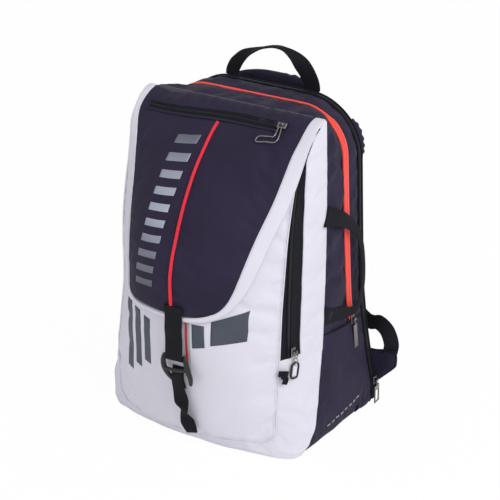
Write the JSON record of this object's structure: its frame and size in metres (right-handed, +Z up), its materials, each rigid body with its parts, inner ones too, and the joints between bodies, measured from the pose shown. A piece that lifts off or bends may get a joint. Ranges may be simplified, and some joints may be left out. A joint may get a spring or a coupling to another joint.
{
  "type": "racket backpack",
  "caption": "Soft racket backpack with a buckled front flap, crowned white front pocket, zipped dark compartments, grab handles and padded shoulder straps.",
  "frame": {"origin": "centre of the flat base, on the floor", "axes": "+Z up; the front flap faces -Y and the wearer's back is at +Y; +X is to the right as seen from the front"},
  "size_m": [0.4052, 0.3524, 0.5416],
  "materials": {
    "dark_fabric": "matte coated polyester, fine plain weave",
    "white_fabric": "matte white coated polyester",
    "lining": "thin matte lining cloth",
    "black_zip": "woven zip tape with nylon coil",
    "red_zip": "coated coral-red zip tape",
    "red_piping": "smooth red piping",
    "webbing": "black woven polypropylene webbing",
    "back_mesh": "black spacer mesh over foam",
    "padding": "foam sheet covered in cloth",
    "board": "thin stiffener board",
    "buckle_plastic": "moulded acetal, satin",
    "zip_metal": "dark nickel plating"
  },
  "bodies": {
    "shell": {"front_panel": "white_fabric", "gusset_right": "white_fabric", "gusset_left": "white_fabric", "base_front": "white_fabric", "base_rear": "dark_fabric", "side_gore_right": "dark_fabric", "side_gore_left": "dark_fabric", "gusset_zip_tape": "black_zip", "base_board": "board", "front_divider": "lining", "main_band": "dark_fabric", "main_zip_tape": "red_zip", "rear_band": "dark_fabric", "racket_divider": "padding", "rear_zip_tape": "black_zip", "back_rim": "dark_fabric", "back_panel": "back_mesh", "side_pocket_right": "dark_fabric", "side_pocket_left": "dark_fabric", "hook_loop": "webbing", "strap_yoke": "back_mesh", "strap_wing_right": "dark_fabric", "strap_wing_left": "dark_fabric", "lower_webbing_right": "webbing", "lower_webbing_left": "webbing"},
    "flap": {"flap_panel": "dark_fabric", "flap_lining": "lining", "flap_binding": "white_fabric", "flap_zip_tape": "black_zip", "flap_piping": "red_piping", "flap_webbing": "webbing"},
    "hook": {"hook_buckle": "buckle_plastic", "webbing_tail": "webbing"},
    "top_handle": {"top_handle": "webbing"},
    "side_handle": {"side_handle": "webbing"},
    "strap_right": {"shoulder_strap_right": "back_mesh", "ladder_lock_right": "buckle_plastic"},
    "strap_left": {"shoulder_strap_left": "back_mesh", "ladder_lock_left": "buckle_plastic"},
    "flap_zip_slider": {"flap_slider": "zip_metal"},
    "flap_zip_pull": {"flap_pull": "zip_metal"},
    "gusset_zip_slider": {"gusset_slider": "zip_metal"},
    "gusset_zip_pull": {"gusset_pull": "zip_metal"},
    "main_zip_slider": {"main_slider": "zip_metal"},
    "main_zip_pull": {"main_pull": "zip_metal"},
    "rear_zip_slider": {"rear_slider": "zip_metal"},
    "rear_zip_pull": {"rear_pull": "zip_metal"}
  },
  "joints": [
    {"name": "flap_hinge", "type": "hinge", "parent": "shell", "child": "flap", "pos_m": [0, -0.014, 0.484], "axis": [-1, 0, 0], "range_deg": [0, 150]},
    {"name": "hook_swing", "type": "hinge", "parent": "flap", "child": "hook", "pos_m": [0.006, -0.165, 0.151], "axis": [-1, 0, 0], "range_deg": [0, 120]},
    {"name": "top_handle_fold", "type": "hinge", "parent": "shell", "child": "top_handle", "pos_m": [0, 0.092, 0.4875], "axis": [1, 0, 0], "range_deg": [-60, 75]},
    {"name": "side_handle_swing", "type": "hinge", "parent": "shell", "child": "side_handle", "pos_m": [0.154, -0.009, 0.265], "axis": [0.0197, 0, -0.9998], "range_deg": [0, 70]},
    {"name": "strap_right_swing", "type": "hinge", "parent": "shell", "child": "strap_right", "pos_m": [0.05, 0.118, 0.452], "axis": [1, 0, 0], "range_deg": [0, 20]},
    {"name": "strap_left_swing", "type": "hinge", "parent": "shell", "child": "strap_left", "pos_m": [-0.05, 0.118, 0.452], "axis": [1, 0, 0], "range_deg": [0, 20]},
    {"name": "flap_zip_slide", "type": "slide", "parent": "flap", "child": "flap_zip_slider", "axis": [-1, 0, 0], "range_m": [0, 0.205]},
    {"name": "flap_pull_swing", "type": "hinge", "parent": "flap_zip_slider", "child": "flap_zip_pull", "pos_m": [0.09802, -0.04478, 0.47779], "axis": [-1, 0, 0], "range_deg": [0, 100]},
    {"name": "gusset_zip_slide", "type": "slide", "parent": "shell", "child": "gusset_zip_slider", "axis": [-0.016, 0.0589, 0.9981], "range_m": [0, 0.2]},
    {"name": "gusset_pull_swing", "type": "hinge", "parent": "gusset_zip_slider", "child": "gusset_zip_pull", "pos_m": [0.15068, -0.08076, 0.1633], "axis": [-0.1211, -0.9912, 0.0536], "range_deg": [0, 150]},
    {"name": "main_zip_slide", "type": "slide", "parent": "shell", "child": "main_zip_slider", "axis": [-0.0299, -0.0847, 0.996], "range_m": [0, 0.21]},
    {"name": "main_pull_swing", "type": "hinge", "parent": "main_zip_slider", "child": "main_zip_pull", "pos_m": [0.16229, 0.07088, 0.15638], "axis": [0.0051, -0.9964, -0.0844], "range_deg": [0, 150]},
    {"name": "rear_zip_slide", "type": "slide", "parent": "shell", "child": "rear_zip_slider", "axis": [-0.1383, -0.0741, 0.9876], "range_m": [0, 0.11]},
    {"name": "rear_pull_swing", "type": "hinge", "parent": "rear_zip_slider", "child": "rear_zip_pull", "pos_m": [0.18018, 0.1173, 0.04], "axis": [0, -0.9972, -0.0748], "range_deg": [0, 95]}
  ]
}
